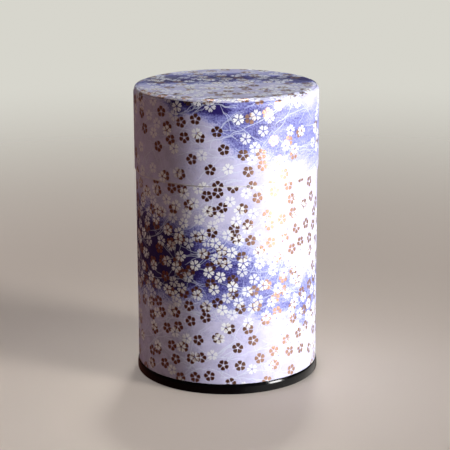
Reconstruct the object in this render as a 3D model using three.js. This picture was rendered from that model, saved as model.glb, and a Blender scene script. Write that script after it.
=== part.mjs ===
// Paper-covered tin tea caddy: a rolled tin body on a black pressed foot, an inner neck sleeve,
// a plug-type inner lid with a knob, and a slip-over outer lid.
// Millimetres. +Z is up, the origin is under the middle of the foot, and the front faces -Y.
import * as THREE from 'three';

// ---- Driving dimensions ----
const TOTAL_HEIGHT = 121.0;
const BODY_RADIUS = 37.5; // outside of the body paper
const LID_RADIUS = 37.95; // outside of the lid paper
const FOOT_RADIUS = 38.0;
const FOOT_HEIGHT = 4.2;
const JOINT_HEIGHT = 86.4; // top edge of the body tube
const LID_BOTTOM = 86.5; // lower edge of the outer lid, resting on the body tube
const SHOULDER_RADIUS = 3.0; // rounded top edge of the lid, over the paper

const TIN = 0.4; // sheet thickness
const PAPER = 0.22; // washi thickness
const GLUE = 0.05; // gap between two layers that are fixed together
const REST_GAP = 0.1; // gap between two faces that rest on each other
const OVERLAP_FROM = 114; // where the paper's vertical lap starts, in degrees from +X
const OVERLAP_TO = 126;
const LAP_RISE = 0.3; // degrees over which the lap's edge steps up or down

const FACETS = 60; // shared by every large ring, so that nested rings stay parallel
const SMALL_FACETS = 32; // knob and rivet

// ---- Radii that follow from the layers ----
const tubeOuter = BODY_RADIUS - PAPER - GLUE;
const tubeInner = tubeOuter - TIN;
const neckOuter = tubeInner - GLUE;
const neckInner = neckOuter - TIN;
const neckHemInner = neckInner - TIN;
const plugOuter = neckHemInner - 0.13; // sliding clearance of the inner lid
const lidTubeOuter = LID_RADIUS - PAPER - GLUE;
const lidTubeInner = lidTubeOuter - TIN;
const lidHemInner = neckOuter + 0.15; // sliding clearance of the outer lid
const lidSkirtOuter = lidTubeInner - GLUE;

// ---- Heights ----
const TUBE_BOTTOM = 1.3;
const NECK_BOTTOM = 66.0;
const NECK_TOP = 104.5;
const HEM_HEIGHT = 3.0;
const PAN_FLOOR = 99.0; // upper face of the inner lid's sunken panel
const KNOB_TOP = 109.8;
const SKIRT_BOTTOM = 113.0; // lower edge of the skirt under the lid's top panel
const PAPER_OVER_FOOT = 0.15; // bare line between the foot and the body paper
const PAPER_UNDER_JOINT = 0.05; // bare line between the body paper and the tube's top edge
const HEM_SHOWING = 0.3; // folded tin left bare under the lid paper
const FOLD_EASE = 0.2; // bevel that stands for the round of a folded edge
const FOLD_SLOPE = 0.35; // height over which a folded edge runs out into the sheet

// ---- Foot ----
const CAP_SHEET = 0.6; // thicker than the tube
const CAP_FLOOR = 2.2; // underside of the sunken middle
const CAP_STEP = 0.6; // how much higher the ring round the middle is pressed
const CAP_MIDDLE_RADIUS = 25.0;
const CAP_RING_RADIUS = 35.5;
const TREAD_INNER = 36.4; // the ring that the caddy stands on
const TREAD_OUTER = 37.35;
const CHANNEL_FLOOR = 1.0; // bottom of the channel that holds the tube's edge

// ---- Knob and rivet ----
const BORE_RADIUS = 1.6; // hole in the pan and in the knob
const BORE_DEPTH = 4.9;
const SHANK_RADIUS = 1.5;
const SHANK_LENGTH = 5.2;
const RIVET_HEAD_RADIUS = 3.2;
const RIVET_HEAD_HEIGHT = 0.9;
const KNOB_BASE_RADIUS = 4.2;
const KNOB_WAIST_RADIUS = 2.9;
const KNOB_RADIUS = 6.4;

// ---- Inner lid's rim ----
const RIM_OVERHANG = 0.85; // how far the curled rim reaches out over the neck
const RIM_HEIGHT = 0.95;

// Centre of the lid's rounded shoulder, shared by the tin and by both papers.
const shoulderR = LID_RADIUS - SHOULDER_RADIUS;
const shoulderZ = TOTAL_HEIGHT - SHOULDER_RADIUS;
const tinShoulder = SHOULDER_RADIUS - PAPER - GLUE;
const lidTubeTop = shoulderZ - 0.2; // the lid's tube ends just under the shoulder

const TINPLATE = { color: 0xc9cbcd, roughness: 0.3, metalness: 1.0 };
const BRIGHT_TIN = { color: 0xd6d7d8, roughness: 0.2, metalness: 1.0 };
const ALUMINIUM = { color: 0xd0d2d4, roughness: 0.35, metalness: 1.0 };
const BLACK_PAINT = { color: 0x08080a, roughness: 0.15, metalness: 0.0 };
const WASHI = { color: 0xb9b4dc, roughness: 0.5, metalness: 0.0 };

// Points along an arc in the (radius, height) plane, angles in degrees from the outward direction.
function arc(centreR, centreZ, radius, fromDeg, toDeg, steps) {
  const points = [];
  for (let i = 0; i <= steps; i += 1) {
    const angle = THREE.MathUtils.degToRad(fromDeg + ((toDeg - fromDeg) * i) / steps);
    points.push([centreR + radius * Math.cos(angle), centreZ + radius * Math.sin(angle)]);
  }
  return points;
}

function named(name, geometry, look) {
  const mesh = new THREE.Mesh(geometry, new THREE.MeshStandardMaterial(look));
  mesh.name = name;
  return mesh;
}

// A solid of revolution. The profile runs anticlockwise, with radius to the right and height up.
function turned(name, profile, look, facets = FACETS) {
  const points = profile.map(([r, z]) => new THREE.Vector2(r, z));
  const onAxis = profile[0][0] === 0 && profile[profile.length - 1][0] === 0;
  if (!onAxis) {
    points.push(points[0].clone());
  }
  const geometry = new THREE.LatheGeometry(points, facets);
  geometry.rotateX(Math.PI / 2);
  return named(name, geometry, look);
}

// The angles of a paper wrap: every shared facet edge, and a close pair at each end of the lap.
function wrapAngles() {
  const step = 360 / FACETS;
  const angles = [];
  for (let i = 0; i < FACETS; i += 1) {
    const angle = i * step;
    if (angle === OVERLAP_FROM) {
      angles.push({ angle: angle - LAP_RISE, lifted: false });
    }
    angles.push({ angle, lifted: angle >= OVERLAP_FROM && angle <= OVERLAP_TO });
    if (angle === OVERLAP_TO) {
      angles.push({ angle: angle + LAP_RISE, lifted: false });
    }
  }
  return angles;
}

// A sheet wrapped once round the tin, doubled where its ends overlap. The outer run of points
// (bottom to top) moves out by one more sheet along the lap; the inner run (top to bottom) stays.
function wrapped(name, outerRun, liftedRun, innerRun, look) {
  const positions = [];
  const rings = wrapAngles();
  const count = outerRun.length + innerRun.length;
  for (const { angle, lifted } of rings) {
    const turn = THREE.MathUtils.degToRad(angle);
    for (const [r, z] of [...(lifted ? liftedRun : outerRun), ...innerRun]) {
      positions.push(r * Math.cos(turn), r * Math.sin(turn), z);
    }
  }
  const index = [];
  for (let ring = 0; ring < rings.length; ring += 1) {
    const here = ring * count;
    const next = ((ring + 1) % rings.length) * count;
    for (let i = 0; i < count; i += 1) {
      const j = (i + 1) % count;
      index.push(here + i, next + i, next + j);
      index.push(here + i, next + j, here + j);
    }
  }
  const geometry = new THREE.BufferGeometry();
  geometry.setAttribute('position', new THREE.Float32BufferAttribute(positions, 3));
  geometry.setIndex(index);
  geometry.computeVertexNormals();
  return named(name, geometry, look);
}

// ---- Body ----

function bodyTube() {
  return turned('body_tube', [
    [tubeInner, TUBE_BOTTOM],
    [tubeOuter, TUBE_BOTTOM],
    [tubeOuter, JOINT_HEIGHT],
    [tubeInner, JOINT_HEIGHT],
  ], TINPLATE);
}

function bodyPaper() {
  const inner = BODY_RADIUS - PAPER;
  const low = FOOT_HEIGHT + PAPER_OVER_FOOT;
  const high = JOINT_HEIGHT - PAPER_UNDER_JOINT;
  const outerRun = [[BODY_RADIUS, low], [BODY_RADIUS, high]];
  const liftedRun = [[BODY_RADIUS + PAPER, low], [BODY_RADIUS + PAPER, high]];
  return wrapped('body_paper', outerRun, liftedRun, [[inner, high], [inner, low]], WASHI);
}

// Short sleeve fixed inside the body tube. Its top edge is folded inwards.
function neckSleeve() {
  const fold = NECK_TOP - HEM_HEIGHT;
  return turned('neck_sleeve', [
    [neckInner, NECK_BOTTOM],
    [neckOuter, NECK_BOTTOM],
    [neckOuter, NECK_TOP - FOLD_EASE],
    [neckOuter - FOLD_EASE, NECK_TOP],
    [neckHemInner + FOLD_EASE, NECK_TOP],
    [neckHemInner, NECK_TOP - FOLD_EASE],
    [neckHemInner, fold],
    [neckInner, fold - FOLD_SLOPE],
  ], TINPLATE);
}

// Pressed end: a rounded bead outside the tube, a channel for the tube's edge, a wall inside it
// and a raised floor with one pressed step.
function baseCap() {
  const channelOuter = tubeOuter + GLUE;
  const channelInner = tubeInner - GLUE;
  const ringUnder = CAP_FLOOR + CAP_STEP;
  const ringTop = ringUnder + CAP_SHEET;
  return turned('base_cap', [
    [0, CAP_FLOOR],
    [CAP_MIDDLE_RADIUS, CAP_FLOOR],
    [CAP_MIDDLE_RADIUS + 1.2, ringUnder],
    [CAP_RING_RADIUS, ringUnder],
    [CAP_RING_RADIUS + 0.45, ringUnder - 0.4],
    [TREAD_INNER - 0.35, 0.35],
    [TREAD_INNER, 0],
    [TREAD_OUTER, 0],
    [TREAD_OUTER + 0.45, 0.25],
    [FOOT_RADIUS, 0.75],
    [FOOT_RADIUS, FOOT_HEIGHT - 0.85],
    [FOOT_RADIUS - 0.15, FOOT_HEIGHT - 0.3],
    [FOOT_RADIUS - 0.5, FOOT_HEIGHT],
    [channelOuter, FOOT_HEIGHT],
    [channelOuter, CHANNEL_FLOOR],
    [channelInner, CHANNEL_FLOOR],
    [channelInner, ringTop - 0.4],
    [CAP_RING_RADIUS + 0.8, ringTop],
    [CAP_MIDDLE_RADIUS + 1.0, ringTop],
    [CAP_MIDDLE_RADIUS - 0.2, CAP_FLOOR + CAP_SHEET],
    [0, CAP_FLOOR + CAP_SHEET],
  ], BLACK_PAINT);
}

// ---- Inner lid ----

// Drawn pan that plugs the neck, hanging from a curled rim that rests on the neck's edge.
function innerLidPan() {
  const under = PAN_FLOOR - TIN;
  const wallInner = plugOuter - TIN;
  const rimLow = NECK_TOP + REST_GAP;
  const rimTop = rimLow + RIM_HEIGHT;
  const rimOuter = plugOuter + RIM_OVERHANG;
  return turned('inner_lid_pan', [
    [BORE_RADIUS, under],
    [plugOuter - 0.9, under],
    [plugOuter - 0.25, under + 0.25],
    [plugOuter, under + 0.9],
    [plugOuter, rimLow],
    [rimOuter - 0.3, rimLow],
    [rimOuter, rimLow + 0.3],
    [rimOuter, rimTop - 0.3],
    [rimOuter - 0.3, rimTop],
    [plugOuter + 0.05, rimTop],
    [wallInner, rimTop - 0.45],
    [wallInner, PAN_FLOOR + 0.6],
    [wallInner - 0.6, PAN_FLOOR],
    [BORE_RADIUS, PAN_FLOOR],
  ], TINPLATE);
}

// Turned knob: a small base, a waist and a mushroom head, bored from below for the rivet.
function knob() {
  const low = PAN_FLOOR + REST_GAP;
  return turned('knob', [
    [0, low + BORE_DEPTH],
    [BORE_RADIUS, low + BORE_DEPTH],
    [BORE_RADIUS, low],
    [KNOB_BASE_RADIUS, low],
    [KNOB_BASE_RADIUS, low + 0.8],
    [KNOB_WAIST_RADIUS + 0.2, low + 1.9],
    [KNOB_WAIST_RADIUS, low + 3.9],
    [KNOB_WAIST_RADIUS + 1.2, low + 5.9],
    [KNOB_RADIUS - 0.5, low + 7.1],
    [KNOB_RADIUS, low + 8.2],
    [KNOB_RADIUS - 0.4, low + 9.5],
    [KNOB_RADIUS - 1.8, KNOB_TOP - 0.35],
    [0, KNOB_TOP],
  ], BRIGHT_TIN, SMALL_FACETS);
}

// Domed rivet under the pan, its shank running up into the knob.
function knobRivet() {
  const headTop = PAN_FLOOR - TIN - REST_GAP;
  return turned('knob_rivet', [
    [0, headTop - RIVET_HEAD_HEIGHT],
    [RIVET_HEAD_RADIUS - 1.2, headTop - 0.75],
    [RIVET_HEAD_RADIUS - 0.3, headTop - 0.4],
    [RIVET_HEAD_RADIUS, headTop],
    [SHANK_RADIUS, headTop],
    [SHANK_RADIUS, headTop + SHANK_LENGTH],
    [0, headTop + SHANK_LENGTH],
  ], ALUMINIUM, SMALL_FACETS);
}

// ---- Outer lid ----

// Rolled tube with its lower edge folded inwards. The fold is what slides on the neck.
function lidTube() {
  const fold = LID_BOTTOM + HEM_HEIGHT;
  return turned('lid_tube', [
    [lidHemInner, LID_BOTTOM + FOLD_EASE],
    [lidHemInner + FOLD_EASE, LID_BOTTOM],
    [lidTubeOuter - FOLD_EASE, LID_BOTTOM],
    [lidTubeOuter, LID_BOTTOM + FOLD_EASE],
    [lidTubeOuter, lidTubeTop],
    [lidTubeInner, lidTubeTop],
    [lidTubeInner, fold],
    [lidHemInner, fold - FOLD_SLOPE],
  ], TINPLATE);
}

// Pressed top with a rounded shoulder that sits on the tube's edge and a skirt inside the tube.
function lidTop() {
  const seat = lidTubeTop + REST_GAP;
  const skirtInner = lidSkirtOuter - TIN;
  const underside = shoulderZ + tinShoulder - TIN;
  return turned('lid_top', [
    [0, underside],
    ...arc(shoulderR, shoulderZ, tinShoulder - TIN, 90, 20, 3),
    [skirtInner, seat - 0.6],
    [skirtInner, SKIRT_BOTTOM],
    [lidSkirtOuter, SKIRT_BOTTOM],
    [lidSkirtOuter, seat],
    [lidTubeOuter, seat],
    ...arc(shoulderR, shoulderZ, tinShoulder, 0, 90, 6),
    [0, shoulderZ + tinShoulder],
  ], TINPLATE);
}

// Side paper, turned over the shoulder and hidden under the edge of the top disc.
function lidSidePaper() {
  const inner = LID_RADIUS - PAPER;
  const low = LID_BOTTOM + HEM_SHOWING;
  const outerRun = [[LID_RADIUS, low], ...arc(shoulderR, shoulderZ, SHOULDER_RADIUS, 0, 46, 4)];
  // The lap lies flat again where the paper turns over the shoulder.
  const liftedRun = outerRun.map(([r, z]) => [z > shoulderZ ? r : r + PAPER, z]);
  const innerRun = [...arc(shoulderR, shoulderZ, SHOULDER_RADIUS - PAPER, 46, 0, 4), [inner, low]];
  return wrapped('lid_side_paper', outerRun, liftedRun, innerRun, WASHI);
}

// Top disc. Its edge steps out over the side paper on the shoulder.
function lidTopPaper() {
  const over = SHOULDER_RADIUS + GLUE;
  return turned('lid_top_paper', [
    [0, TOTAL_HEIGHT - PAPER],
    ...arc(shoulderR, shoulderZ, SHOULDER_RADIUS - PAPER, 90, 52, 3),
    ...arc(shoulderR, shoulderZ, over, 49, 38, 1),
    ...arc(shoulderR, shoulderZ, over + PAPER, 38, 49, 1),
    ...arc(shoulderR, shoulderZ, SHOULDER_RADIUS, 54, 90, 3),
    [0, TOTAL_HEIGHT],
  ], WASHI);
}

const group = new THREE.Group();
group.name = 'tea_caddy';
const parts = [
  bodyTube,
  bodyPaper,
  neckSleeve,
  baseCap,
  innerLidPan,
  knob,
  knobRivet,
  lidTube,
  lidTop,
  lidSidePaper,
  lidTopPaper,
];
for (const make of parts) {
  group.add(make());
}

export default group;
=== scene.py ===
"""Detailed visual model of a tin tea caddy covered in blossom-printed washi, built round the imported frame.

Profiles and the print are in millimetres. Meshes, lights, the floor and the camera are in metres.
+Z is up and the front faces -Y.
"""

import math

import bmesh
import bpy
from mathutils import Matrix, Vector


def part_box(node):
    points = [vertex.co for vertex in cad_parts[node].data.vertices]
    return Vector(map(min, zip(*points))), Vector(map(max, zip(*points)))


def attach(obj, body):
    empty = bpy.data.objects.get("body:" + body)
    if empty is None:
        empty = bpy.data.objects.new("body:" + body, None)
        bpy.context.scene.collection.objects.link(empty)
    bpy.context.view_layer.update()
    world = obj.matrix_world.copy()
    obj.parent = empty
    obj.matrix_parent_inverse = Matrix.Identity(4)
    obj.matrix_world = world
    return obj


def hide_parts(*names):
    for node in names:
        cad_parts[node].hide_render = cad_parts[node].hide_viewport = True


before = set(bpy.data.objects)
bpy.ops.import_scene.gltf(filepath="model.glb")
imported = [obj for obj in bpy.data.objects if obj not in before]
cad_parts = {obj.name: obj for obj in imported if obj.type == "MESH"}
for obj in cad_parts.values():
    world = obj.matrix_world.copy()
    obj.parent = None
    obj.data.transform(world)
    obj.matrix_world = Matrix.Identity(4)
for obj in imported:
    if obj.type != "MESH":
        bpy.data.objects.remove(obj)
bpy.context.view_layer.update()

MM = 0.001


def reach(node):
    """Outer radius, lowest and highest point of a CAD node, in millimetres."""
    low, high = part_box(node)
    return high[0] / MM, low[2] / MM, high[2] / MM


# ---- Dimensions read from the frame ----
BODY_R, PAPER_LOW, PAPER_HIGH = reach("body_paper")
TUBE_R, TUBE_LOW, JOINT = reach("body_tube")
NECK_R, NECK_LOW, NECK_TOP = reach("neck_sleeve")
FOOT_R, _, FOOT_TOP = reach("base_cap")
RIM_R, PAN_LOW, RIM_TOP = reach("inner_lid_pan")
KNOB_R, KNOB_LOW, KNOB_TOP = reach("knob")
RIVET_R, RIVET_LOW, RIVET_TOP = reach("knob_rivet")
LID_TUBE_R, LID_LOW, LID_TUBE_TOP = reach("lid_tube")
LID_R, _, _ = reach("lid_side_paper")
_, SKIRT_LOW, _ = reach("lid_top")
_, _, TOP = reach("lid_top_paper")

# ---- Sheets and their edges ----
TIN = 0.4
PAPER = 0.22
GLUE = 0.05  # gap between two layers that are fixed together
CUT = 0.05  # easing of a cut paper edge
CUT_LENGTH = 0.07  # length of that eased edge
HEM = 3.0  # height of the folded tin edges
HEM_CLEARANCE = 0.15  # between the lid's hem and the neck
TUBE_EDGE = 0.12  # rounding of the body tube's cut edges
NECK_FOLD = 0.32  # rounding of the neck's folded top edge
LID_FOLD = 0.3  # rounding of the lid's folded lower edge
TUBE_SEAM = 0.12  # how far the seam stands in from the body tube's wall
SLEEVE_SEAM = 0.1  # the same in the neck and in the lid
SEAM_EASE = 0.4  # height over which a seam starts or ends
SEAM_GAP = 0.1  # bare height between a seam and the piece that is fitted there

# ---- The lid's rounded edge ----
SHOULDER = 3.0  # its radius, over the paper
SHOULDER_R = LID_R - SHOULDER  # centre of the rounding
SHOULDER_Z = TOP - SHOULDER
FADE = 1.2  # height over which the lap of the side paper levels out on the shoulder

# ---- The laps, in degrees from +X ----
LAP_START = 114
LAP_END = 126
CLIMB_BEFORE = 0.8  # how far ahead of the sheet's start its end begins to climb
CLIMB = 1.2  # how long the climb is
CLIMB_STEP = 0.2
FRONT = 270  # the angle of -Y
CIRCLE = 360

# ---- Foot ----
FOOT_SHEET = 0.6
FOOT_MIDDLE = 2.2  # height of the underside in the middle
FOOT_CHANNEL = 1.0  # floor of the channel that holds the tube
FOOT_RING = 36.1  # inner radius of the ring that the caddy stands on
FOOT_STEP = 25.0  # radius of the step round the middle
FOOT_STEP_WIDTH = 1.2
BEAD_DEPTH = 0.6
BEAD_HEIGHT = 2.5
BEAD_STEPS = 10

# ---- Inner lid ----
PAN_BORE = 1.6
PAN_RIB_IN = 17.0  # inner and outer radius of the pressed rib in the floor
PAN_RIB_OUT = 22.0
RIB_RISE = 0.25
RIB_SLOPE = 0.6
RIB_ROUND = 0.5
RIM_OVERHANG = 0.85
RIM_GAP = 0.1  # between the rim and the neck's edge

# ---- Colours ----
WASHI = (0.56, 0.55, 0.78)
PERIWINKLE = (0.29, 0.32, 0.66)
VIOLET = (0.105, 0.105, 0.38)
INDIGO = (0.014, 0.006, 0.12)
FIBRE = (0.68, 0.75, 0.9)
WHITE_INK = (0.86, 0.88, 0.9)
GOLD_INK = (0.43, 0.26, 0.19)
BARE_PAPER = (0.8, 0.8, 0.84)
TINPLATE = (0.8, 0.81, 0.82)
KNOB_METAL = (0.88, 0.88, 0.88)
ENAMEL = (0.002, 0.002, 0.0025)
RUBBED_ENAMEL = (0.014, 0.013, 0.013)

# ---- The print ----
GOLD_R = 2.25
WHITE_R = 2.3
# Each layer of blossoms: cell size, turn in degrees, shift beyond the sheet's own, and jitter from 0 to 1.
GOLD_LAYER = (6.9, 18, 0, 0.5)
WHITE_LAYER = (5.9, -27, 31, 0.4)
EXTRA_LAYER = (7.3, 52, 64, 0.6)
# Each scatter of fibres: cell length, lean and spread in degrees, and half width of a fibre.
FIBRE_SCATTERS = (
    (24, 8, 45, 0.16),
    (19, -16, 60, 0.14),
    (27, 30, 40, 0.18),
    (18, -40, 60, 0.12),
    (22, 58, 50, 0.13),
)
# Each ink cloud: place along the sheet from the front (or x), height (or y), half width, half height,
# tilt in degrees, and depth of colour. A depth of 0 only gathers blossoms.
BODY_CLOUDS = (
    (-44, 57, 24, 18, 0, 1.3),
    (-22, 56, 20, 17, -14, 1.3),
    (-3, 50, 16, 15, -22, 0.86),
    (15, 43, 18, 13, -18, 0.64),
    (38, 37, 24, 11, -4, 0.62),
    (-76, 50, 20, 13, 20, 0.9),
    (82, 56, 26, 14, 20, 1.1),
    (122, 44, 20, 12, -16, 0.9),
    (-12, 73, 26, 9, -10, 0.0),
)
LID_CLOUDS = (
    (-11, 121, 18, 8, -4, 1.15),
    (10, 113, 18, 14, -22, 0.76),
    (28, 106, 20, 15, -14, 0.62),
    (47, 102, 18, 16, 0, 0.58),
    (-74, 106, 20, 10, 12, 0.8),
    (84, 110, 26, 10, -8, 1.0),
    (124, 99, 18, 8, 10, 0.8),
)
TOP_CLOUDS = (
    (-24, 9, 22, 13, 6, 0.98),
    (0, 12, 20, 12, 0, 0.95),
    (24, 10, 22, 13, -8, 0.98),
)


# ---- Profiles ----


def arc(centre_r, centre_z, radius, start, end, steps):
    """Points along an arc in the (radius, height) plane; angles in degrees from outward."""
    points = []
    for i in range(steps + 1):
        angle = math.radians(start + (end - start) * i / steps)
        points.append((centre_r + radius * math.cos(angle), centre_z + radius * math.sin(angle)))
    return points


def shoulder_arc(radius, start, end, steps):
    """Points round the lid's shoulder, at a radius from the centre of its rounding."""
    return arc(SHOULDER_R, SHOULDER_Z, radius, start, end, steps)


def rounded(corners, default, steps):
    """A profile with its corners rolled over.

    Each corner is (radius, height) or (radius, height, rounding), and takes its directions from the
    corners beside it. Corners on the axis, or with a rounding of 0, stay as they are.
    """
    points = []
    count = len(corners)
    for i, corner in enumerate(corners):
        here = Vector(corner[:2])
        size = corner[2] if len(corner) > 2 else default
        if here.x == 0 or size == 0:
            points.append(tuple(here))
            continue
        before = Vector(corners[i - 1][:2]) - here
        after = Vector(corners[(i + 1) % count][:2]) - here
        size = min(size, before.length * 0.49, after.length * 0.49)
        start = here + before.normalized() * size
        end = here + after.normalized() * size
        for step in range(steps + 1):
            t = step / steps
            point = start * (1 - t) ** 2 + here * 2 * t * (1 - t) + end * t**2
            points.append(tuple(point))
    return points


def lengths_along(profile, first):
    """Distance along a profile at each point, counted from the value `first`."""
    out = [first]
    for a, b in zip(profile, profile[1:]):
        out.append(out[-1] + math.dist(a, b))
    return out


# ---- Meshes ----


def finish_piece(name, bm, material, body, node):
    """Turn a bmesh into a smooth, sharp-creased piece that stands for a CAD node."""
    bmesh.ops.remove_doubles(bm, verts=bm.verts, dist=1e-7)
    bmesh.ops.recalc_face_normals(bm, faces=bm.faces)
    mesh = bpy.data.meshes.new(name)
    bm.to_mesh(mesh)
    bm.free()
    mesh.polygons.foreach_set("use_smooth", [True] * len(mesh.polygons))
    mesh.set_sharp_from_angle(angle=math.radians(38))
    mesh.materials.append(material)
    piece = bpy.data.objects.new(name, mesh)
    bpy.context.scene.collection.objects.link(piece)
    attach(piece, body)
    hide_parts(node)


def ring_of_vertices(bm, profile, turn):
    """The profile's points as vertices, turned round the axis by an angle in radians."""
    ring = []
    for r, z in profile:
        ring.append(bm.verts.new((r * math.cos(turn) * MM, r * math.sin(turn) * MM, z * MM)))
    return ring


def print_corners(here, after, i, j, left, right, low, high):
    """The corners of a face between points i and j of two rings, each (vertex, u, v)."""
    return [(here[i], left, low), (after[i], right, low), (after[j], right, high), (here[j], left, high)]


def printed_face(bm, layer, corners):
    face = bm.faces.new([vert for vert, _, _ in corners])
    for loop, (_, u, v) in zip(face.loops, corners):
        loop[layer].uv = (u, v)


def turned(profile, columns=CIRCLE):
    """A solid of revolution as a bmesh. UVs are arc length by length along the profile."""
    bm = bmesh.new()
    layer = bm.loops.layers.uv.new("print")
    along = lengths_along(profile, 0.0)
    widest = max(r for r, _ in profile)
    rings = [ring_of_vertices(bm, profile, math.tau * c / columns) for c in range(columns)]
    on_axis = profile[0][0] == 0 and profile[-1][0] == 0
    spans = len(profile) - 1 if on_axis else len(profile)
    for c in range(columns):
        left = math.radians(360 * c / columns - FRONT) * widest
        right = math.radians(360 * (c + 1) / columns - FRONT) * widest
        for i in range(spans):
            j = (i + 1) % len(profile)
            high = along[i] + math.dist(profile[i], profile[j])
            corners = print_corners(rings[c], rings[(c + 1) % columns], i, j, left, right, along[i], high)
            if profile[i][0] == 0:
                corners.pop(0)
            elif profile[j][0] == 0:
                corners.pop(2)
            printed_face(bm, layer, corners)
    return bm


def lap_lift(angle):
    """How far the sheet has climbed onto its own start, 0 to 1, at an angle along the sheet."""
    climb = (angle - 360 - LAP_START + CLIMB_BEFORE) / CLIMB
    t = min(max(climb, 0.0), 1.0)
    return t * t * (3 - 2 * t)


def wrap_angles():
    """Angles along a sheet from LAP_END, once round to LAP_END again, close together on the climb."""
    lap = LAP_END - LAP_START
    angles = [LAP_END + i for i in range(CIRCLE - lap - 1)]
    for i in range(round(CLIMB / CLIMB_STEP) + 1):
        angles.append(360 + LAP_START - CLIMB_BEFORE + CLIMB_STEP * i)
    return angles + [360 + LAP_START + 1 + i for i in range(lap)]


def touching(a, b):
    return (a.co - b.co).length < 1e-9


def wrapped(profile, lifted, first, lift, fade_above=None):
    """A sheet wrapped once round, its end lapped over its start.

    On the lap, the first `lifted` points of the profile stand out by `lift`, or in if it is negative.
    Past the height `fade_above` they do so less and less. UVs are arc length by length along the
    profile, counted from the value `first`.
    """
    bm = bmesh.new()
    layer = bm.loops.layers.uv.new("print")
    along = lengths_along(profile, first)
    radius = profile[0][0]
    angles = wrap_angles()
    rings = []
    for angle in angles:
        section = []
        for k, (r, z) in enumerate(profile):
            if k < lifted:
                fade = 1.0
                if fade_above is not None and z > fade_above:
                    fade = max(0.0, 1 - (z - fade_above) / FADE)
                r += lift * fade * lap_lift(angle)
            section.append((r, z))
        rings.append(ring_of_vertices(bm, section, math.radians(angle)))

    count = len(profile)
    for c, angle in enumerate(angles):
        closing = c == len(angles) - 1
        here = rings[c]
        after = rings[0] if closing else rings[c + 1]
        left = math.radians(angle - FRONT) * radius
        right = left if closing else math.radians(angles[c + 1] - FRONT) * radius
        for i in range(count):
            j = (i + 1) % count
            if closing and touching(here[i], after[i]) and touching(here[j], after[j]):
                continue
            high = along[i] + math.dist(profile[i], profile[j])
            printed_face(bm, layer, print_corners(here, after, i, j, left, right, along[i], high))
    return bm


def flatten_print(bm):
    """Lay the print flat over a disc: UVs become x and y, measured along the surface."""
    layer = bm.loops.layers.uv["print"]
    for face in bm.faces:
        for loop in face.loops:
            _, v = loop[layer].uv
            angle = math.atan2(loop.vert.co.y, loop.vert.co.x)
            loop[layer].uv = (v * math.cos(angle), v * math.sin(angle))


# ---- Shader building ----


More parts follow.
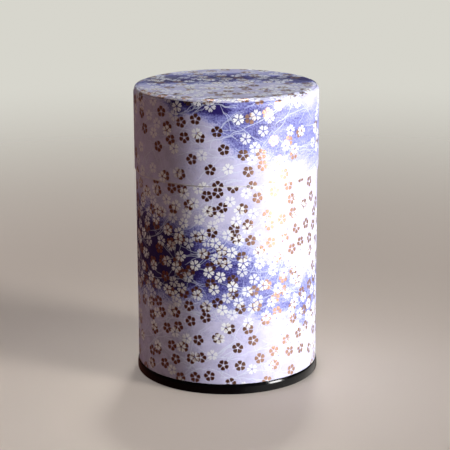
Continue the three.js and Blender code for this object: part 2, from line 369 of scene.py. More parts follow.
class Nodes:
    """Short calls for building a node tree. Any argument may be a number, a tuple or a socket."""

    def __init__(self, tree):
        self.tree = tree

    def add(self, kind, **settings):
        node = self.tree.nodes.new(kind)
        for key, value in settings.items():
            setattr(node, key, value)
        return node

    def feed(self, value, socket):
        if isinstance(value, bpy.types.NodeSocket):
            self.tree.links.new(value, socket)
        elif value is not None:
            socket.default_value = value

    def math(self, operation, a, b=None, c=None):
        node = self.add("ShaderNodeMath", operation=operation)
        for value, socket in zip((a, b, c), node.inputs):
            self.feed(value, socket)
        return node.outputs[0]

    def vector(self, operation, a, b=None, scale=None):
        node = self.add("ShaderNodeVectorMath", operation=operation)
        self.feed(a, node.inputs[0])
        self.feed(b, node.inputs[1])
        if scale is not None:
            self.feed(scale, node.inputs["Scale"])
        return node.outputs["Value"] if operation == "LENGTH" else node.outputs["Vector"]

    def ramp(self, value, start, end, low=0.0, high=1.0):
        """A smooth step from low to high as the value goes from start to end."""
        node = self.add("ShaderNodeMapRange", interpolation_type="SMOOTHSTEP")
        for item, socket in zip((value, start, end, low, high), node.inputs):
            self.feed(item, socket)
        return node.outputs[0]

    def colour(self, factor, a, b):
        """A blend from colour a to colour b."""
        node = self.add("ShaderNodeMix", data_type="RGBA", blend_type="MIX")
        self.feed(factor, node.inputs[0])
        for value, socket in zip((a, b), (node.inputs[6], node.inputs[7])):
            self.feed((*value, 1.0) if isinstance(value, tuple) else value, socket)
        return node.outputs[2]

    def split(self, vector):
        node = self.add("ShaderNodeSeparateXYZ")
        self.feed(vector, node.inputs[0])
        return tuple(node.outputs)

    def join(self, x, y):
        node = self.add("ShaderNodeCombineXYZ")
        for value, socket in zip((x, y), node.inputs):
            self.feed(value, socket)
        return node.outputs[0]

    def place(self, vector, location, turn, scale, inverse=False):
        """Move into a plane frame of its own, or with inverse back out of it. Turn is in degrees."""
        node = self.add("ShaderNodeMapping", vector_type="POINT" if inverse else "TEXTURE")
        self.feed(vector, node.inputs["Vector"])
        node.inputs["Location"].default_value = (*location, 0)
        node.inputs["Rotation"].default_value = (0, 0, math.radians(turn))
        node.inputs["Scale"].default_value = (*scale, 1)
        return node.outputs[0]

    def noise(self, vector, size, detail=2.0, roughness=0.5, distortion=0.0, kind="2D"):
        """Noise whose lumps are about `size` across, 0 to 1 with a mean of one half."""
        node = self.add("ShaderNodeTexNoise", noise_dimensions=kind)
        self.feed(vector, node.inputs["Vector"])
        node.inputs["Scale"].default_value = 1 / size
        node.inputs["Detail"].default_value = detail
        node.inputs["Roughness"].default_value = roughness
        node.inputs["Distortion"].default_value = distortion
        return node.outputs[0]

    def streaks(self, vector, turn, length, width, **settings):
        """Noise drawn out into streaks of about that length and width."""
        return self.noise(self.place(vector, (0, 0), turn, (length, width)), 1.0, **settings)

    def scatter(self, point, location, turn, cell, jitter):
        """The nearest point of a jittered grid of cells, and its three chance numbers, 0 to 1."""
        cells = self.add("ShaderNodeTexVoronoi", voronoi_dimensions="2D", feature="F1")
        self.feed(self.place(point, location, turn, cell), cells.inputs["Vector"])
        cells.inputs["Scale"].default_value = 1.0
        cells.inputs["Randomness"].default_value = jitter
        centre = self.place(cells.outputs["Position"], location, turn, cell, inverse=True)
        chance = self.add("ShaderNodeSeparateColor")
        self.feed(cells.outputs["Color"], chance.inputs[0])
        return centre, tuple(chance.outputs)

    def print_uv(self):
        return self.add("ShaderNodeUVMap", uv_map="print").outputs[0]

    def bump(self, height):
        """A bump from a height in millimetres."""
        node = self.add("ShaderNodeBump")
        node.inputs["Strength"].default_value = 1.0
        node.inputs["Distance"].default_value = MM
        self.feed(height, node.inputs["Height"])
        return node.outputs[0]


def new_material(name, constants):
    """A material, its Nodes helper and its Principled shader, with constant inputs set."""
    material = bpy.data.materials.new(name)
    material.use_nodes = True
    shader = material.node_tree.nodes["Principled BSDF"]
    for key, value in constants.items():
        shader.inputs[key].default_value = value
    return material, Nodes(material.node_tree), shader


def new_group(name, inputs, outputs):
    tree = bpy.data.node_groups.new(name, "ShaderNodeTree")
    for label, kind in inputs.items():
        tree.interface.new_socket(label, in_out="INPUT", socket_type="NodeSocket" + kind)
    for label, kind in outputs.items():
        tree.interface.new_socket(label, in_out="OUTPUT", socket_type="NodeSocket" + kind)
    nodes = Nodes(tree)
    return tree, nodes, nodes.add("NodeGroupInput").outputs, nodes.add("NodeGroupOutput").inputs


def use_group(nodes, tree, **values):
    node = nodes.add("ShaderNodeGroup")
    node.node_tree = tree
    for key, value in values.items():
        nodes.feed(value, node.inputs[key])
    return node.outputs


def shaded(colour, factor):
    return tuple(c * factor for c in colour)


# ---- The print: blossoms, ink clouds and fibres ----

PETALS = 5
EYE_RING = 0.11  # the sizes of a blossom's eye and notches are shares of its radius
NOTCH_CENTRE = 1.03
NOTCH_LENGTH = 0.22
NOTCH_WIDTH = 0.09


def blossom_group(name, radius, petal_length, petal_width, flare, notch):
    """A five-petal blossom of separate petals round a ringed eye.

    Petal length and width are halves, as shares of the radius. Flare, 0 to 1, narrows the inner end.
    """
    tree, nodes, given, out = new_group(
        name,
        {"Offset": "Vector", "Spin": "Float"},
        {"Petals": "Float", "Eye": "Float", "Disc": "Float"},
    )
    x, y, _ = nodes.split(given["Offset"])
    rho = nodes.math("DIVIDE", nodes.vector("LENGTH", given["Offset"]), radius)
    # The angle, folded onto one petal. Whole petals are added so that the fraction is of a positive number.
    turn = nodes.math("MULTIPLY", nodes.math("ARCTAN2", y, x), PETALS / math.tau)
    turn = nodes.math("FRACT", nodes.math("ADD", turn, nodes.math("ADD", given["Spin"], PETALS)))
    angle = nodes.math("MULTIPLY", nodes.math("SUBTRACT", turn, 0.5), math.tau / PETALS)
    along = nodes.math("MULTIPLY", rho, nodes.math("COSINE", angle))
    across = nodes.math("MULTIPLY", rho, nodes.math("SINE", angle))

    def oval(centre, half_length, half_width):
        a = nodes.math("DIVIDE", nodes.math("SUBTRACT", along, centre), half_length)
        b = nodes.math("DIVIDE", across, half_width)
        return nodes.vector("LENGTH", nodes.join(a, b))

    middle = 1 - petal_length
    steady = petal_width * (1 - flare)
    fan = nodes.math("MULTIPLY_ADD", along, petal_width * flare / middle, steady)
    petals = nodes.ramp(oval(middle, petal_length, fan), 1.07, 0.95)
    if notch:
        cut = nodes.ramp(oval(NOTCH_CENTRE, NOTCH_LENGTH, NOTCH_WIDTH), 0.8, 1.2)
        petals = nodes.math("MULTIPLY", petals, cut)
    ring = nodes.math("ABSOLUTE", nodes.math("SUBTRACT", rho, EYE_RING))
    nodes.feed(petals, out["Petals"])
    nodes.feed(nodes.ramp(ring, 0.06, 0.03), out["Eye"])
    nodes.feed(nodes.ramp(rho, 1.12, 1.02), out["Disc"])
    return tree


def cloud_group(name, clouds):
    """Soft printed ink clouds. Ink is their depth, and Near is a wider field round them."""
    lump = 17.0  # size of the lumps in the clouds' outlines
    drift_length = 16.0
    apart = (91.0, 37.0, 0.0)  # where the second direction's noise is taken from
    tree, nodes, given, out = new_group(name, {"Vector": "Vector"}, {"Ink": "Float", "Near": "Float"})
    drift_x = nodes.noise(given["Vector"], lump, detail=3)
    drift_y = nodes.noise(nodes.vector("ADD", given["Vector"], apart), lump, detail=3)
    drift = nodes.vector("SUBTRACT", nodes.join(drift_x, drift_y), (0.5, 0.5, 0.0))
    point = nodes.vector("ADD", given["Vector"], nodes.vector("SCALE", drift, scale=drift_length))
    ink = 0.0
    near = 0.0
    for x, y, half_width, half_height, tilt, depth in clouds:
        distance = nodes.vector("LENGTH", nodes.place(point, (x, y), tilt, (half_width, half_height)))
        ink = nodes.math("SMOOTH_MAX", ink, nodes.ramp(distance, 1.55, 0.25, 0.0, depth), 0.2)
        near = nodes.math("MAXIMUM", near, nodes.ramp(distance, 1.75, 0.85))
    nodes.feed(ink, out["Ink"])
    nodes.feed(near, out["Near"])
    return tree


def blossom_layer(nodes, point, shape, clouds, seed, layer, kept):
    """One scatter of blossoms: petals, eyes, the discs that they fill, and a chance number each.

    `kept` is the share of blossoms that stay away from the ink clouds, and the share near them.
    """
    cell, turn, shift, jitter = layer
    sparse, dense = kept
    shift += seed
    centre, chance = nodes.scatter(point, (shift, shift * 0.7), turn, (cell, cell), jitter)
    near = use_group(nodes, clouds, Vector=centre)["Near"]
    limit = nodes.math("MULTIPLY_ADD", near, dense - sparse, sparse)
    stays = nodes.math("LESS_THAN", chance[0], limit)
    offset = nodes.vector("SUBTRACT", point, centre)
    flower = use_group(nodes, shape, Offset=offset, Spin=chance[1])
    petals, eye, disc = (nodes.math("MULTIPLY", flower[part], stays) for part in ("Petals", "Eye", "Disc"))
    return petals, eye, disc, chance[2]


def fibre_group():
    """Long pale fibres: shallow arcs that cross, each with a fork, from a few overlaid scatters."""
    tree, nodes, given, out = new_group("fibres", {"Vector": "Vector"}, {"Fibre": "Float"})
    wobble = nodes.noise(given["Vector"], 4.0)
    wobble = nodes.math("MULTIPLY", nodes.math("SUBTRACT", wobble, 0.5), 1.6)
    total = 0.0
    for i, (cell, lean, spread, width) in enumerate(FIBRE_SCATTERS):
        centre, chance = nodes.scatter(given["Vector"], (i * 23.0, i * 41.0), lean, (cell, cell * 0.7), 0.8)
        swing = nodes.math("SUBTRACT", chance[0], 0.5)
        swing = nodes.math("MULTIPLY_ADD", swing, math.radians(spread), math.radians(-lean))
        swung = nodes.add("ShaderNodeVectorRotate", rotation_type="Z_AXIS")
        nodes.feed(nodes.vector("SUBTRACT", given["Vector"], centre), swung.inputs["Vector"])
        nodes.feed(swing, swung.inputs["Angle"])
        x, y, _ = nodes.split(swung.outputs[0])
        bow = nodes.math("MULTIPLY", nodes.math("SUBTRACT", chance[1], 0.5), 0.07)
        y = nodes.math("ADD", y, wobble)
        y = nodes.math("MULTIPLY_ADD", nodes.math("MULTIPLY", x, x), bow, y)
        fork = nodes.math("MULTIPLY", nodes.math("SUBTRACT", chance[2], 0.5), 0.8)
        branch = nodes.math("MULTIPLY_ADD", nodes.math("MAXIMUM", x, 0.0), fork, y)
        off = nodes.math("MINIMUM", nodes.math("ABSOLUTE", y), nodes.math("ABSOLUTE", branch))
        line = nodes.ramp(off, width * 1.5, width * 0.6)
        end = nodes.ramp(nodes.math("ABSOLUTE", x), cell * 0.62, cell * 0.35)
        total = nodes.math("MAXIMUM", total, nodes.math("MULTIPLY", line, end))
    nodes.feed(total, out["Fibre"])
    return tree


gold_shape = blossom_group("gold_blossom", GOLD_R, 0.39, 0.36, flare=0.75, notch=False)
white_shape = blossom_group("white_blossom", WHITE_R, 0.4, 0.32, flare=0.8, notch=True)
fibres = fibre_group()


def washi_material(name, clouds, seed, gold_kept, white_kept, extra_kept):
    """Semi-gloss printed washi: ink clouds, fibres, then gold blossoms, then white ones on top."""
    material, nodes, shader = new_material(name, {"Specular IOR Level": 0.55})
    point = nodes.print_uv()
    grain = nodes.vector("ADD", point, (seed, seed * 0.6, 0.0))

    # Ink clouds, brushed along the sheet and broken up into a fine spray of dots.
    ink = use_group(nodes, clouds, Vector=point)["Ink"]
    spray = nodes.noise(grain, 0.7, detail=1)
    brush = nodes.streaks(grain, 6, 11.0, 2.4, detail=4, roughness=0.6)
    ink = nodes.math("MULTIPLY_ADD", nodes.math("SUBTRACT", spray, 0.5), 0.6, ink)
    ink = nodes.math("MULTIPLY_ADD", nodes.math("SUBTRACT", brush, 0.5), 0.5, ink)
    pulp = nodes.ramp(nodes.noise(grain, 5.0, detail=3, roughness=0.6), 0.3, 0.7)
    colour = nodes.colour(pulp, shaded(WASHI, 0.92), shaded(WASHI, 1.06))
    colour = nodes.colour(nodes.ramp(ink, 0.1, 0.6), colour, PERIWINKLE)
    colour = nodes.colour(nodes.ramp(ink, 0.35, 0.85), colour, VIOLET)
    colour = nodes.colour(nodes.ramp(ink, 0.65, 1.0), colour, INDIGO)

    # Fibres show as pale lines, clearest over the ink.
    strand = use_group(nodes, fibres, Vector=grain)["Fibre"]
    colour = nodes.colour(nodes.math("MULTIPLY", strand, 0.55), colour, FIBRE)

    # White blossoms vary in strength. The extra ones cover the white ones under them.
    gold, gold_eye, _, _ = blossom_layer(nodes, point, gold_shape, clouds, seed, GOLD_LAYER, gold_kept)
    white, white_eye, _, tone = blossom_layer(
        nodes, point, white_shape, clouds, seed, WHITE_LAYER, white_kept
    )
    white = nodes.math("MULTIPLY", white, nodes.ramp(tone, 0.0, 1.0, 0.64, 0.96))
    extra, extra_eye, extra_disc, _ = blossom_layer(
        nodes, point, white_shape, clouds, seed, EXTRA_LAYER, extra_kept
    )
    clear = nodes.math("SUBTRACT", 1.0, extra_disc)
    white = nodes.math("MULTIPLY", white, clear)
    white = nodes.math("MAXIMUM", white, nodes.math("MULTIPLY", extra, 0.92))
    white_eye = nodes.math("MULTIPLY_ADD", white_eye, clear, extra_eye)
    colour = nodes.colour(gold, colour, GOLD_INK)
    colour = nodes.colour(nodes.math("MULTIPLY", gold_eye, 0.5), colour, WHITE_INK)
    colour = nodes.colour(white, colour, WHITE_INK)
    colour = nodes.colour(nodes.math("MULTIPLY", white_eye, 0.7), colour, VIOLET)

    # The print is rubbed off along the cut edges where lid and body meet.
    _, height, _ = nodes.split(point)
    edge = nodes.ramp(nodes.math("ABSOLUTE", nodes.math("SUBTRACT", height, JOINT)), 0.55, 0.3)
    rub = nodes.ramp(pulp, 0.1, 0.5, 0.3, 0.9)
    colour = nodes.colour(nodes.math("MULTIPLY", edge, rub), colour, BARE_PAPER)
    nodes.feed(colour, shader.inputs["Base Color"])

    # Gold ink is metallic, and a little smoother than the paper.
    metal = nodes.math("MULTIPLY", gold, nodes.math("SUBTRACT", 1.0, white))
    nodes.feed(metal, shader.inputs["Metallic"])
    rough = nodes.ramp(nodes.noise(grain, 1.3, detail=3), 0.3, 0.7, 0.36, 0.46)
    nodes.feed(nodes.math("MULTIPLY_ADD", metal, -0.08, rough), shader.inputs["Roughness"])

    # Paper tooth, and long fibres just under the surface.
    tooth = nodes.noise(grain, 0.5, detail=3, roughness=0.65)
    felt = nodes.streaks(grain, 40, 3.0, 0.5, distortion=1.2)
    relief = nodes.math("MULTIPLY", tooth, 0.02)
    relief = nodes.math("MULTIPLY_ADD", felt, 0.02, relief)
    relief = nodes.math("MULTIPLY_ADD", strand, 0.015, relief)
    nodes.feed(nodes.bump(relief), shader.inputs["Normal"])
    return material


# ---- Metals ----


def tinplate(name, colour, rough):
    """Bright metal: fine lines round the piece, a faint crystalline bloom and shallow handling dents."""
    material, nodes, shader = new_material(name, {"Metallic": 1.0})
    point = nodes.print_uv()
    lines = nodes.streaks(point, 0, 14.0, 0.25, detail=3)
    bloom = nodes.noise(point, 7.0, detail=3, roughness=0.7)
    shade = nodes.colour(nodes.ramp(bloom, 0.3, 0.7), colour, shaded(colour, 0.86))
    shade = nodes.colour(nodes.ramp(lines, 0.35, 0.7, 0.0, 0.35), shade, shaded(colour, 0.72))
    nodes.feed(shade, shader.inputs["Base Color"])
    level = nodes.ramp(bloom, 0.25, 0.75, rough - 0.05, rough + 0.08)
    nodes.feed(nodes.math("MULTIPLY_ADD", lines, 0.08, level), shader.inputs["Roughness"])
    dents = nodes.noise(point, 13.0, detail=1)
    relief = nodes.math("MULTIPLY", lines, 0.004)
    nodes.feed(nodes.bump(nodes.math("MULTIPLY_ADD", dents, 0.12, relief)), shader.inputs["Normal"])
    return material


def black_enamel():
    """Glossy black stoved paint with a little orange peel and rubbed spots."""
    material, nodes, shader = new_material("black_enamel", {"Specular IOR Level": 0.22})
    point = nodes.print_uv()
    wear = nodes.noise(point, 2.4, detail=5, roughness=0.7)
    shade = nodes.colour(nodes.ramp(wear, 0.62, 0.8), ENAMEL, RUBBED_ENAMEL)
    nodes.feed(shade, shader.inputs["Base Color"])
    nodes.feed(nodes.ramp(wear, 0.3, 0.8, 0.07, 0.2), shader.inputs["Roughness"])
    peel = nodes.noise(point, 1.6, detail=2)
    nodes.feed(nodes.bump(nodes.math("MULTIPLY", peel, 0.005)), shader.inputs["Normal"])
    return material


# ---- Body ----


def make_body_paper(paper):
    inner = BODY_R - PAPER
    eased = BODY_R - CUT
    outer = [(eased, PAPER_LOW), (BODY_R, PAPER_LOW + CUT), (BODY_R, PAPER_HIGH - CUT), (eased, PAPER_HIGH)]
    profile = outer + [(inner, PAPER_HIGH), (inner, PAPER_LOW)]
    bm = wrapped(profile, len(outer), PAPER_LOW - CUT_LENGTH, PAPER)
    finish_piece("body_washi", bm, paper, "body", "body_paper")


def make_body_tube(tin):
    """The tube, with its seam inside. The seam keeps clear of the neck and of the foot."""
    inner = TUBE_R - TIN
    foot_inside = FOOT_MIDDLE + 2 * FOOT_SHEET
    seam_high = NECK_LOW - SEAM_GAP
    seam_low = foot_inside + SEAM_GAP
    seam = [(inner, seam_high - SEAM_EASE), (inner, seam_low + SEAM_EASE)]
    ends = [(inner, TUBE_LOW, 0), (TUBE_R, TUBE_LOW), (TUBE_R, JOINT), (inner, JOINT, 0)]
    profile = [*seam, (inner, seam_low), *rounded(ends, TUBE_EDGE, 3), (inner, seam_high)]
    bm = wrapped(profile, len(seam), 0, -TUBE_SEAM)
    finish_piece("tin_tube", bm, tin, "body", "body_tube")


def make_neck(tin):
    """The neck, its top edge folded inward and down."""
    inner = NECK_R - TIN
    hem = inner - TIN
    fold = NECK_TOP - HEM
    seam = [(inner, fold - 0.5), (inner, NECK_LOW)]
    wall = [(NECK_R, NECK_LOW, 0), (NECK_R, NECK_TOP), (hem, NECK_TOP), (hem, fold + 0.25, 0)]
    hem_end = [(hem + 0.08, fold + 0.06), (hem + 0.2, fold), (inner - 0.03, fold)]
    profile = seam + rounded(wall, NECK_FOLD, 6) + hem_end
    bm = wrapped(profile, len(seam), 0, -SLEEVE_SEAM)
    finish_piece("neck_ring", bm, tin, "body", "neck_sleeve")


def make_foot(enamel):
    """The pressed foot: a sunken middle, a ring to stand on, and a rolled bead round the tube."""
    sheet = FOOT_SHEET
    under = FOOT_MIDDLE
    raised = under + sheet
    step_end = FOOT_STEP + FOOT_STEP_WIDTH
    slot_out = TUBE_R + GLUE
    slot_in = TUBE_R - TIN - GLUE
    bead = []
    for i in range(BEAD_STEPS + 1):
        t = math.radians(90 * i / BEAD_STEPS)
        r = FOOT_R - BEAD_DEPTH + BEAD_DEPTH * math.cos(t)
        bead.append((r, FOOT_TOP - BEAD_HEIGHT + BEAD_HEIGHT * math.sin(t), 0))
    profile = rounded(
        [
            (0, under),
            (FOOT_STEP, under, 0.6),
            (step_end, raised, 0.6),
            (FOOT_RING - 0.6, raised, 0.4),
            (FOOT_RING - 0.05, under, 0.4),
            (FOOT_RING, 0, 0.45),
            (FOOT_R, 0, 0.7),
            *bead,
            (slot_out, FOOT_TOP, 0.1),
            (slot_out, FOOT_CHANNEL),
            (slot_in, FOOT_CHANNEL),
            (slot_in, raised + sheet, 0.5),
            (step_end - 0.2, raised + sheet, 0.5),
            (FOOT_STEP - 0.2, under + sheet, 0.5),
            (0, under + sheet),
        ],
        0.1,
        6,
    )
    finish_piece("foot", turned(profile), enamel, "body", "base_cap")


# ---- Inner lid ----


def rib_outline(level, inner, outer):
    """A low pressed ridge in a floor at a level, from one radius to another."""
    top = level + RIB_RISE
    return [
        (inner, level, RIB_ROUND),
        (inner + RIB_SLOPE, top, RIB_ROUND),
        (outer - RIB_SLOPE, top, RIB_ROUND),
        (outer, level, RIB_ROUND),
    ]


def make_pan(tin):
    """The pan: a ribbed floor with a hole for the rivet, and a wall with a curled rim."""
    floor = PAN_LOW + TIN
    wall = RIM_R - RIM_OVERHANG
    rim = NECK_TOP + RIM_GAP
    profile = rounded(
        [
            (PAN_BORE, PAN_LOW),
            *rib_outline(PAN_LOW, PAN_RIB_IN, PAN_RIB_OUT),
            (wall, PAN_LOW, 0.9),
            (wall, rim + 0.1, 0.1),
            (wall + 0.3, rim, 0.25),
            (RIM_R, rim, 0.45),
            (RIM_R, RIM_TOP, 0.45),
            (wall - TIN, RIM_TOP, 0.5),
            (wall - TIN, floor, 0.7),
            *reversed(rib_outline(floor, PAN_RIB_IN - 0.2, PAN_RIB_OUT + 0.2)),
            (PAN_BORE, floor),
        ],
        0.1,
        6,
    )
    finish_piece("inner_lid", turned(profile), tin, "inner_lid", "inner_lid_pan")


def make_knob(bright):
    """The knob: a bored foot and a waist under a flattened ball. Heights are counted from its foot."""
    bore = 1.6
    bore_depth = 4.9
    foot = 4.2
    waist = 2.9
    profile = rounded(
        [
            (0, KNOB_LOW + bore_depth),
            (bore, KNOB_LOW + bore_depth),
            (bore, KNOB_LOW),
            (foot, KNOB_LOW, 0.3),
            (foot, KNOB_LOW + 1.1, 0.6),
            (waist, KNOB_LOW + 1.9, 1.2),
            (waist + 0.05, KNOB_LOW + 4.6, 1.8),
            (KNOB_R, KNOB_LOW + 6.9, 1.3),
            (KNOB_R, KNOB_LOW + 9.4, 1.3),
            (foot, KNOB_TOP - 0.2, 1.2),
            (0, KNOB_TOP),
        ],
        0.15,
        8,
    )
    finish_piece("knob_turned", turned(profile, 96), bright, "inner_lid", "knob")


def make_rivet(bright):
    """The rivet: a low domed head under the pan and a shank up into the knob."""
    shank = 1.5
    head_top = KNOB_LOW - 0.6
    profile = rounded(
        [
            (0, RIVET_LOW),
            (2.3, RIVET_LOW + 0.15, 0.8),
            (RIVET_R, head_top, 0.2),
            (shank, head_top, 0.1),
            (shank, RIVET_TOP, 0.2),
            (0, RIVET_TOP),
        ],
        0.15,
        6,
    )
    finish_piece("rivet", turned(profile, 64), bright, "inner_lid", "knob_rivet")


# ---- Outer lid ----


def make_lid_tube(tin):
    """The lid's wall, its lower edge folded inward and up. Its seam keeps clear of the lid top's skirt."""
    inner = LID_TUBE_R - TIN
    hem = NECK_R + HEM_CLEARANCE
    fold = LID_LOW + HEM
    seam_high = SKIRT_LOW - SEAM_GAP
    seam = [(inner, seam_high - SEAM_EASE), (inner, fold + 0.4)]
    hem_end = [(hem + 0.2, fold - 0.05), (hem + 0.06, fold - 0.12)]
    wall = [(hem, fold - 0.3, 0), (hem, LID_LOW), (LID_TUBE_R, LID_LOW), (LID_TUBE_R, LID_TUBE_TOP, 0)]
    profile = seam + hem_end + rounded(wall, LID_FOLD, 6) + [(inner, LID_TUBE_TOP), (inner, seam_high)]
    bm = wrapped(profile, len(seam), 0, -SLEEVE_SEAM)
    finish_piece("lid_tin", bm, tin, "lid", "lid_tube")


def make_lid_cap(tin):
    """The lid's pressed top, with a skirt inside the tube and a ledge on the tube's edge."""
    seat = LID_TUBE_TOP + 0.1
    skirt = LID_TUBE_R - TIN - GLUE
    outside = SHOULDER - PAPER - GLUE
    inside = outside - TIN
    profile = [(0, SHOULDER_Z + inside)]
    profile += shoulder_arc(inside, 90, 20, 10)
    profile += [(skirt - TIN, seat - 0.6), (skirt - TIN, SKIRT_LOW), (skirt, SKIRT_LOW)]
    profile += [(skirt, seat), (LID_TUBE_R, seat)]
    profile += shoulder_arc(outside, 0, 90, 14)
    profile += [(0, SHOULDER_Z + outside)]
    finish_piece("lid_cap", turned(profile), tin, "lid", "lid_top")


def make_lid_side_paper(paper):
    """The sheet round the lid, turned over the shoulder as far as under the disc."""
    low = LID_LOW + 0.08
    under_disc = 46  # degrees up the shoulder
    outer = [(LID_R - CUT, low), (LID_R, low + CUT)]
    outer += shoulder_arc(SHOULDER, 0, under_disc, 10)
    profile = outer + shoulder_arc(SHOULDER - PAPER, under_disc, 0, 10)
    profile += [(LID_R - PAPER, low)]
    bm = wrapped(profile, len(outer), low - CUT_LENGTH, PAPER, fade_above=SHOULDER_Z)
    finish_piece("lid_washi", bm, paper, "lid", "lid_side_paper")


def make_lid_disc(paper):
    """The disc on the lid. Its edge rises onto the side paper and laps over it down the shoulder."""
    under = SHOULDER + GLUE
    over = under + PAPER
    profile = [(0, TOP)]
    profile += reversed(shoulder_arc(SHOULDER, 54, 90, 8))
    profile += reversed(shoulder_arc(over, 39, 49.5, 5))
    profile += shoulder_arc(over - 0.06, 38, 38, 1)[:1]
    profile += shoulder_arc(under, 38, 38, 1)[:1]
    profile += shoulder_arc(under, 39, 48.5, 5)
    profile += shoulder_arc(SHOULDER - PAPER, 52, 90, 8)
    profile += [(0, TOP - PAPER)]
    bm = turned(profile)
    flatten_print(bm)
    finish_piece("lid_disc", bm, paper, "lid", "lid_top_paper")


# ---- Setting ----


def make_camera():
    """A long lens a little above the lid, aimed at a point on the caddy's axis."""
    distance = 0.6771
    aim_height = 0.06108
    pitch = math.radians(14.906)
    yaw = math.radians(-0.063)
    roll = math.radians(-0.255)
    camera = bpy.data.cameras.new("camera")
    camera.sensor_width = 36.0
    camera.lens = 129.63
    camera.clip_start = 0.01
    ahead = Vector((0, math.cos(pitch), -math.sin(pitch)))
    side = Vector((1, 0, 0))
    up = side.cross(ahead)
    ahead, side = (
        ahead * math.cos(yaw) + side * math.sin(yaw),
        side * math.cos(yaw) - ahead * math.sin(yaw),
    )
    side, up = (
        side * math.cos(roll) + up * math.sin(roll),
        up * math.cos(roll) - side * math.sin(roll),
    )
    matrix = Matrix((side, up, -ahead)).transposed().to_4x4()
    matrix.translation = (0, -distance * math.cos(pitch), aim_height + distance * math.sin(pitch))
    place = bpy.data.objects.new("camera", camera)
    place.matrix_world = matrix
    bpy.context.scene.collection.objects.link(place)
    bpy.context.scene.camera = place


def area_light(
    name, azimuth, elevation, distance, size, power, colour, aim=(0, 0, 0.06), spread=180, mirrored=True
):
    """A soft box aimed at a point, from an azimuth in degrees from the front, towards the right.

    Spread is the beam's width in degrees, and mirrored says whether glossy surfaces show the light.
    """
    light = bpy.data.lights.new(name, "AREA")
    light.shape = "RECTANGLE"
    light.size, light.size_y = size
    light.energy = power
    light.color = colour
    light.spread = math.radians(spread)
    place = bpy.data.objects.new(name, light)
    a = math.radians(azimuth)
    e = math.radians(elevation)
    offset = Vector((math.sin(a) * math.cos(e), -math.cos(a) * math.cos(e), math.sin(e))) * distance
    place.location = offset + Vector(aim)
    place.rotation_euler = offset.to_track_quat("Z", "Y").to_euler()
    place.visible_camera = False
    place.visible_glossy = mirrored
    bpy.context.scene.collection.objects.link(place)


def make_floor():
    """A pale floor that fades out into the surround.

    It isn't mirrored in the object, and glows faintly towards the camera, so it is pale in every view.
    """
    radius = 0.8
    glow = 0.14
    bm = bmesh.new()
    bmesh.ops.create_circle(bm, cap_ends=True, segments=96, radius=radius)
    mesh = bpy.data.meshes.new("floor")
    bm.to_mesh(mesh)
    bm.free()
    floor = bpy.data.objects.new("floor", mesh)
    bpy.context.scene.collection.objects.link(floor)
    material, nodes, shader = new_material("pale_floor", {"Roughness": 0.7, "Specular IOR Level": 0.08})
    position = nodes.add("ShaderNodeNewGeometry").outputs["Position"]
    fleck = nodes.noise(position, 0.4, kind="3D")
    shade = nodes.colour(nodes.ramp(fleck, 0.3, 0.7), (0.57, 0.49, 0.42), (0.61, 0.53, 0.46))
    nodes.feed(shade, shader.inputs["Base Color"])
    fade = nodes.ramp(nodes.vector("LENGTH", position), radius * 0.9, radius * 0.2)
    nodes.feed(fade, shader.inputs["Alpha"])
    shader.inputs["Emission Color"].default_value = (1.0, 0.95, 0.9, 1.0)
    seen = nodes.add("ShaderNodeLightPath").outputs["Is Camera Ray"]
    nodes.feed(nodes.math("MULTIPLY", seen, glow), shader.inputs["Emission Strength"])
    mesh.materials.append(material)
    floor.visible_glossy = False


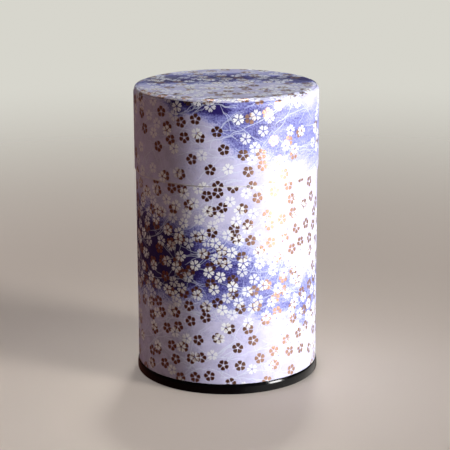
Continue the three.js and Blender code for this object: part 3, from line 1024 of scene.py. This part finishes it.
def make_surround():
    """An even pale surround for the camera, and a room for the object to mirror.

    The room is dark at the left, lighter at the right, and has a pale ceiling. Below the horizon it is
    a dull red table at the left and the window's glare at the right.
    """
    world = bpy.data.worlds.new("studio")
    world.use_nodes = True
    nodes = Nodes(world.node_tree)
    room = world.node_tree.nodes["Background"]
    side, _, rise = nodes.split(nodes.add("ShaderNodeTexCoord").outputs["Generated"])
    shade = nodes.colour(nodes.ramp(side, -0.4, 0.9), (0.16, 0.09, 0.075), (0.8, 0.84, 0.9))
    below = nodes.colour(nodes.ramp(side, 0.15, 0.75), (0.8, 0.26, 0.19), (10.0, 9.3, 8.8))
    shade = nodes.colour(nodes.ramp(rise, 0.0, -0.1), shade, below)
    shade = nodes.colour(nodes.ramp(rise, 0.72, 0.95), shade, (2.8, 2.6, 2.5))
    nodes.feed(shade, room.inputs["Color"])
    room.inputs["Strength"].default_value = 0.1
    surround = nodes.add("ShaderNodeBackground")
    surround.inputs["Color"].default_value = (0.68, 0.67, 0.61, 1.0)
    seen = nodes.add("ShaderNodeMixShader")
    nodes.feed(nodes.add("ShaderNodeLightPath").outputs["Is Camera Ray"], seen.inputs[0])
    nodes.feed(room.outputs[0], seen.inputs[1])
    nodes.feed(surround.outputs[0], seen.inputs[2])
    nodes.feed(seen.outputs[0], world.node_tree.nodes["World Output"].inputs["Surface"])
    bpy.context.scene.world = world


def make_lights():
    """The window at the right, a small lamp on the lid, a warm fill at the left and a fill behind."""
    area_light("key", 62, 7, 3.0, (0.9, 1.2), 20.8, (1.0, 0.99, 0.98), spread=60)
    area_light("top", 172, 62, 0.9, (0.12, 0.12), 0.035, (0.97, 1.0, 1.0), aim=(0, 0.02, 0.121), spread=16)
    area_light("left", -95, 10, 0.9, (1.0, 1.2), 0.95, (1.0, 0.38, 0.26), mirrored=False)
    area_light("rear", -142, 42, 1.2, (0.7, 0.7), 1.7, (0.97, 0.98, 1.0))


make_camera()
make_floor()
make_surround()
make_lights()

body_clouds = cloud_group("body_clouds", BODY_CLOUDS)
lid_clouds = cloud_group("lid_clouds", LID_CLOUDS)
top_clouds = cloud_group("top_clouds", TOP_CLOUDS)
tin = tinplate("tinplate", TINPLATE, 0.24)
bright = tinplate("knob_metal", KNOB_METAL, 0.16)
enamel = black_enamel()
body_washi = washi_material("washi_body", body_clouds, 7, (0.85, 0.9), (0.35, 0.9), (0.08, 0.25))
lid_washi = washi_material("washi_lid", lid_clouds, 19, (0.5, 0.45), (0.34, 0.42), (0.08, 0.12))
top_washi = washi_material("washi_top", top_clouds, 43, (0.85, 0.5), (0.75, 0.85), (0.35, 0.3))

make_body_paper(body_washi)
make_body_tube(tin)
make_neck(tin)
make_foot(enamel)
make_pan(tin)
make_knob(bright)
make_rivet(bright)
make_lid_tube(tin)
make_lid_cap(tin)
make_lid_side_paper(lid_washi)
make_lid_disc(top_washi)

bpy.context.scene.view_settings.view_transform = "Standard"
